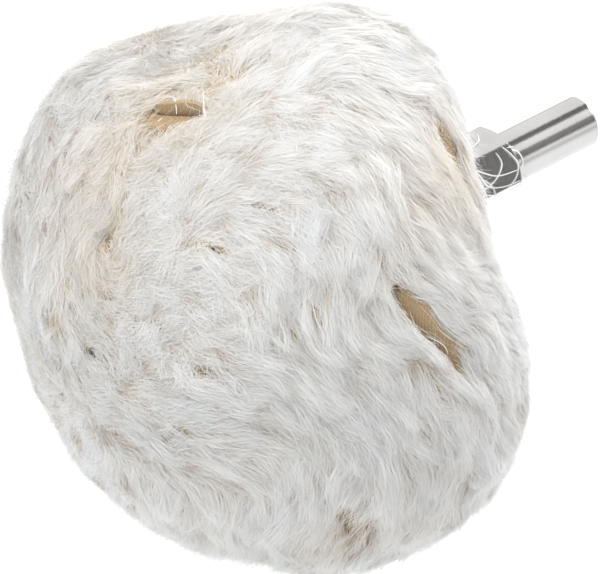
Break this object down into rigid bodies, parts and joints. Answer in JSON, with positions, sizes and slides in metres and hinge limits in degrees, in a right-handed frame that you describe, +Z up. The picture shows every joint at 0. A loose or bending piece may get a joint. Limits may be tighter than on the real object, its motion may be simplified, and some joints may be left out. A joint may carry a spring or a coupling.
{
  "type": "domed cotton polishing wheel",
  "caption": "Domed mop of brushed cotton cloth sections clamped on a steel mandrel with a hexagonal collar and a round shank, for polishing with a drill or a polishing motor.",
  "frame": {"origin": "on the spin axis, where the round shank meets the end of the hexagonal collar", "axes": "+Y along the spin axis and out of the mop, the way the shank points; +Z up with the wheel lying on its side"},
  "size_m": [0.063, 0.0746, 0.063],
  "materials": {
    "plated_steel": "bright nickel plate, fine turning marks",
    "washer_steel": "zinc plate, satin",
    "spring_steel": "oiled spring steel",
    "red_fibre": "vulcanised fibre, matt",
    "cotton_cloth": "unbleached cotton cloth with a long brushed nap"
  },
  "bodies": {
    "root": {"mandrel": "plated_steel", "washer_rear": "washer_steel", "pad_rear": "red_fibre", "ply_01": "cotton_cloth", "ply_02": "cotton_cloth", "ply_03": "cotton_cloth", "ply_04": "cotton_cloth", "ply_05": "cotton_cloth", "ply_06": "cotton_cloth", "ply_07": "cotton_cloth", "ply_08": "cotton_cloth", "ply_09": "cotton_cloth", "ply_10": "cotton_cloth", "ply_11": "cotton_cloth", "ply_12": "cotton_cloth", "ply_13": "cotton_cloth", "ply_14": "cotton_cloth", "ply_15": "cotton_cloth", "ply_16": "cotton_cloth", "ply_17": "cotton_cloth", "ply_18": "cotton_cloth", "pad_front": "red_fibre", "washer_front": "washer_steel", "lock_washer": "spring_steel", "nut": "washer_steel"}
  },
  "joints": []
}
